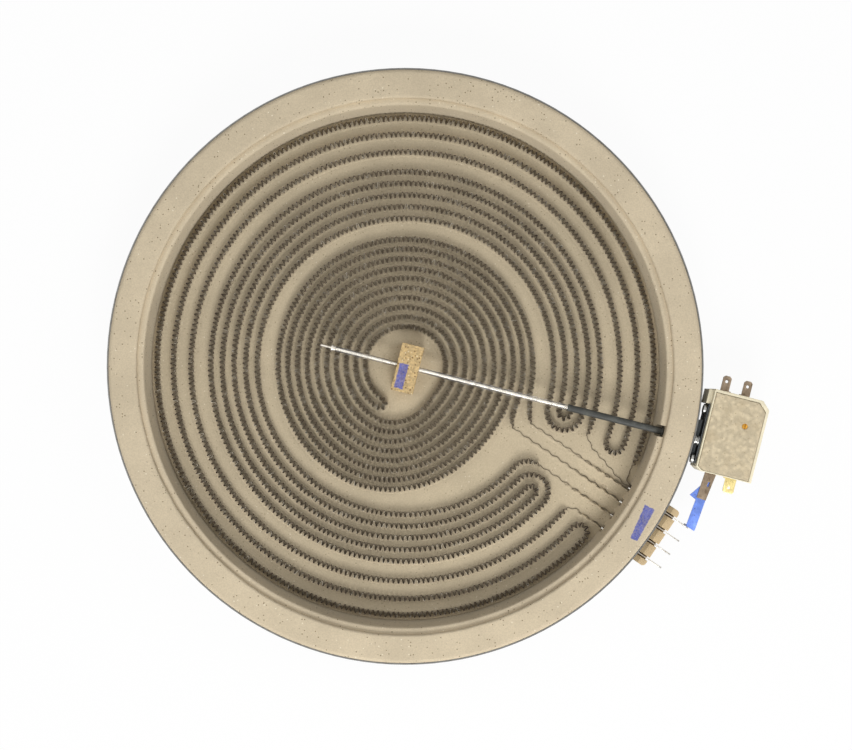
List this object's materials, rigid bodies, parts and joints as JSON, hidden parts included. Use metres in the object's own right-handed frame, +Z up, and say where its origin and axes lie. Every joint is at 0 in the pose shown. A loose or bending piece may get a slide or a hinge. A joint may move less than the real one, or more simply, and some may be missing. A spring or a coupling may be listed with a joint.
{
  "type": "radiant surface element",
  "caption": "Round radiant heater for a glass cooktop: steel dish, insulation with corrugated ribbon coils, rod thermostat with ceramic head, and ceramic terminal block.",
  "frame": {"origin": "centre of the dish's flat underside, on the dish axis", "axes": "+Z up towards the cooktop glass; seen from above, +X to the right and +Y to the top of the picture, with the thermostat head and the terminals to the lower right"},
  "size_m": [0.3661, 0.33, 0.033],
  "materials": {
    "dish_steel": "satin, heat-dulled",
    "base_insulation": "matt pressed insulation",
    "ring_insulation": "matt pressed insulation with fine specks",
    "heater_alloy": "dark oxidised strip",
    "tan_ceramic": "unglazed",
    "plated_steel": "satin plated",
    "blue_strap": "blue tinted strap",
    "vermiculite": "coarse porous",
    "quartz": "clear",
    "rod_metal": "drawn",
    "dark_sleeve": "dark matt",
    "bright_steel": "bright",
    "dark_steel": "dark",
    "cream_ceramic": "smooth cream",
    "rough_ceramic": "rough cast",
    "brass": "bright",
    "grey_tab": "dulled",
    "brassy_tab": "bright",
    "spring_metal": "bright"
  },
  "bodies": {
    "root": {"steel_dish": "dish_steel", "base_insulation": "base_insulation", "ring_insulator": "ring_insulation", "outer_ribbon": "heater_alloy", "middle_ribbon": "heater_alloy", "inner_ribbon": "heater_alloy", "terminal_block": "tan_ceramic", "terminal_blade_1": "plated_steel", "terminal_blade_2": "plated_steel", "terminal_blade_3": "plated_steel", "terminal_blade_4": "plated_steel", "link_strap": "blue_strap", "centre_block": "vermiculite", "quartz_tube": "quartz", "expansion_rod": "rod_metal", "rod_tip_nut": "rod_metal", "rod_sleeve": "dark_sleeve", "sleeve_washer": "dark_sleeve", "rod_ferrule": "bright_steel", "limiter_bracket": "dark_steel", "bracket_rivets": "bright_steel", "head_rivets": "bright_steel", "limiter_housing": "cream_ceramic", "limiter_cover": "rough_ceramic", "adjusting_screw": "brass", "signal_tab_1": "grey_tab", "signal_tab_2": "grey_tab", "power_tab_1": "grey_tab", "power_tab_2": "brassy_tab", "push_lever": "cream_ceramic", "power_contact_spring": "spring_metal", "signal_contact_spring": "spring_metal"}
  },
  "joints": []
}
